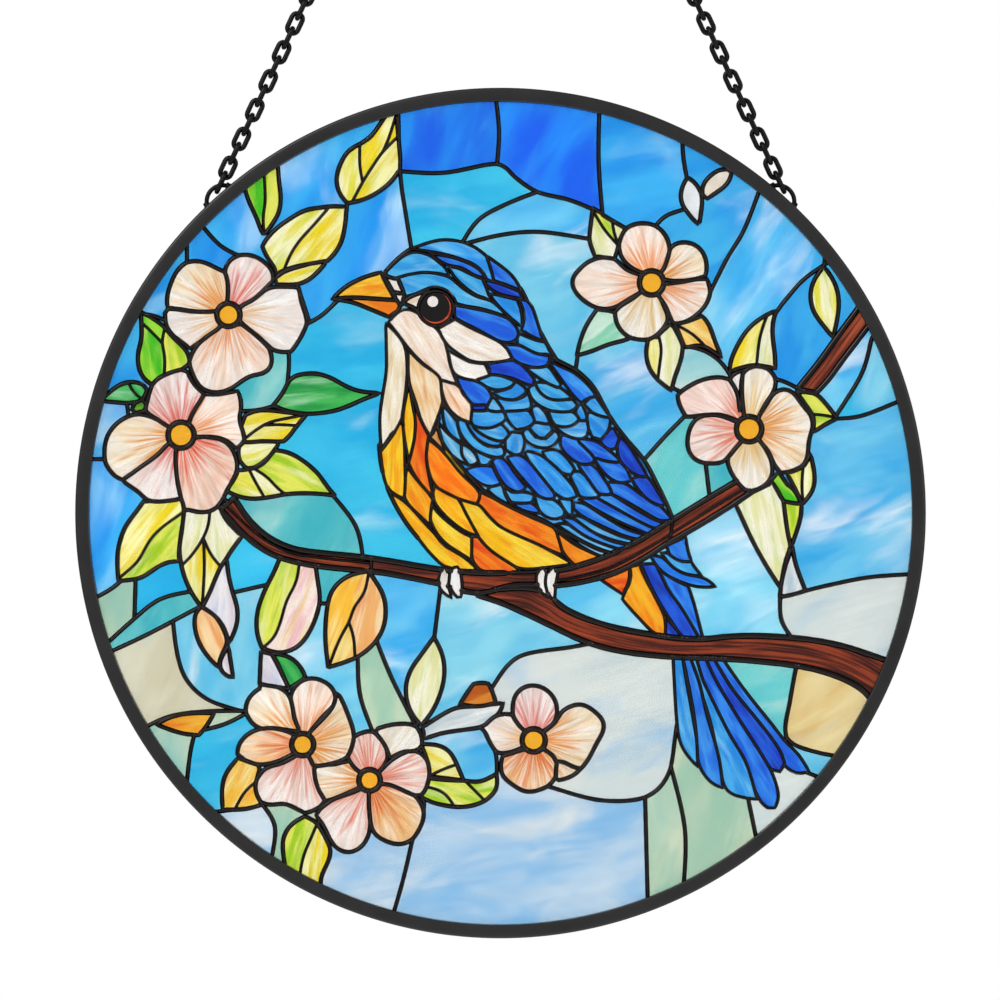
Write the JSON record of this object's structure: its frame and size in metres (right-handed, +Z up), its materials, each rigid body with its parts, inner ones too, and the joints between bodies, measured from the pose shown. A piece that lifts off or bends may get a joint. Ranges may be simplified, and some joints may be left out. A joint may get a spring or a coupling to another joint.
{
  "type": "stained glass suncatcher",
  "caption": "Round hanging panel of coloured glass with a songbird on a blossoming branch, in solder seams and a metal rim, on two chains from one ring.",
  "frame": {"origin": "where a hook bears on the inside of the hanging ring, on the panel's middle plane", "axes": "+X to the viewer's right, +Z up, the picture's face looking along -Y"},
  "size_m": [0.3, 0.007, 0.4878],
  "materials": {
    "petal_glass": "streaky opalescent, gloss",
    "bark_glass": "streaky opalescent, gloss",
    "bird_blue_glass": "streaky opalescent, gloss",
    "beak_glass": "streaky opalescent, gloss",
    "bird_cream_glass": "streaky opalescent, gloss",
    "bird_amber_glass": "streaky opalescent, gloss",
    "leaf_yellow_glass": "streaky opalescent, gloss",
    "leaf_green_glass": "streaky opalescent, gloss",
    "leaf_pale_glass": "streaky opalescent, gloss",
    "leaf_amber_glass": "streaky opalescent, gloss",
    "sky_blue_glass": "streaky opalescent, gloss",
    "sky_deep_glass": "streaky opalescent, gloss",
    "sky_pale_glass": "streaky opalescent, gloss",
    "solder": "satin",
    "rim_paint": "satin",
    "iron": "satin"
  },
  "bodies": {
    "root": {"bird_beak": "beak_glass", "bird_breast": "bird_amber_glass", "bird_face": "bird_cream_glass", "bird_foot_left": "bird_cream_glass", "bird_foot_right": "bird_cream_glass", "bird_head": "bird_blue_glass", "bird_tail": "bird_blue_glass", "bird_undertail": "bird_blue_glass", "bird_wing": "bird_blue_glass", "blossom_bottom": "petal_glass", "blossom_left": "petal_glass", "blossom_lower_left": "petal_glass", "blossom_lower_middle": "petal_glass", "blossom_right": "petal_glass", "blossom_upper_left": "petal_glass", "blossom_upper_right": "petal_glass", "branch_lower": "bark_glass", "branch_main": "bark_glass", "branch_tip": "bark_glass", "chain_left": "iron", "chain_right": "iron", "hanger_loop_left": "iron", "hanger_loop_right": "iron", "hanging_ring": "iron", "leaf_above_left": "leaf_yellow_glass", "leaf_beside_bud": "leaf_yellow_glass", "leaf_bottom": "leaf_yellow_glass", "leaf_cream": "leaf_yellow_glass", "leaf_far_left": "leaf_green_glass", "leaf_green": "leaf_green_glass", "leaf_hanging": "leaf_pale_glass", "leaf_lime": "leaf_yellow_glass", "leaf_low_left": "leaf_yellow_glass", "leaf_orange": "leaf_amber_glass", "leaf_pale": "leaf_pale_glass", "leaf_pink": "leaf_pale_glass", "leaf_rim_right": "leaf_yellow_glass", "leaf_rim_top": "leaf_green_glass", "leaf_slender": "leaf_yellow_glass", "leaf_teal": "leaf_pale_glass", "leaf_top": "leaf_yellow_glass", "leaf_upright": "leaf_yellow_glass", "leaf_yellow": "leaf_yellow_glass", "leaf_yellow_low": "leaf_yellow_glass", "rim": "rim_paint", "sky_01": "sky_blue_glass", "sky_02": "sky_deep_glass", "sky_03": "sky_blue_glass", "sky_04": "sky_blue_glass", "sky_05": "sky_blue_glass", "sky_06": "sky_pale_glass", "sky_07": "sky_pale_glass", "sky_08": "sky_pale_glass", "sky_09": "sky_blue_glass", "sky_10": "sky_blue_glass", "sky_11": "sky_blue_glass", "sky_12": "sky_blue_glass", "sky_13": "sky_blue_glass", "sky_14": "sky_deep_glass", "solder_seams": "solder"}
  },
  "joints": []
}
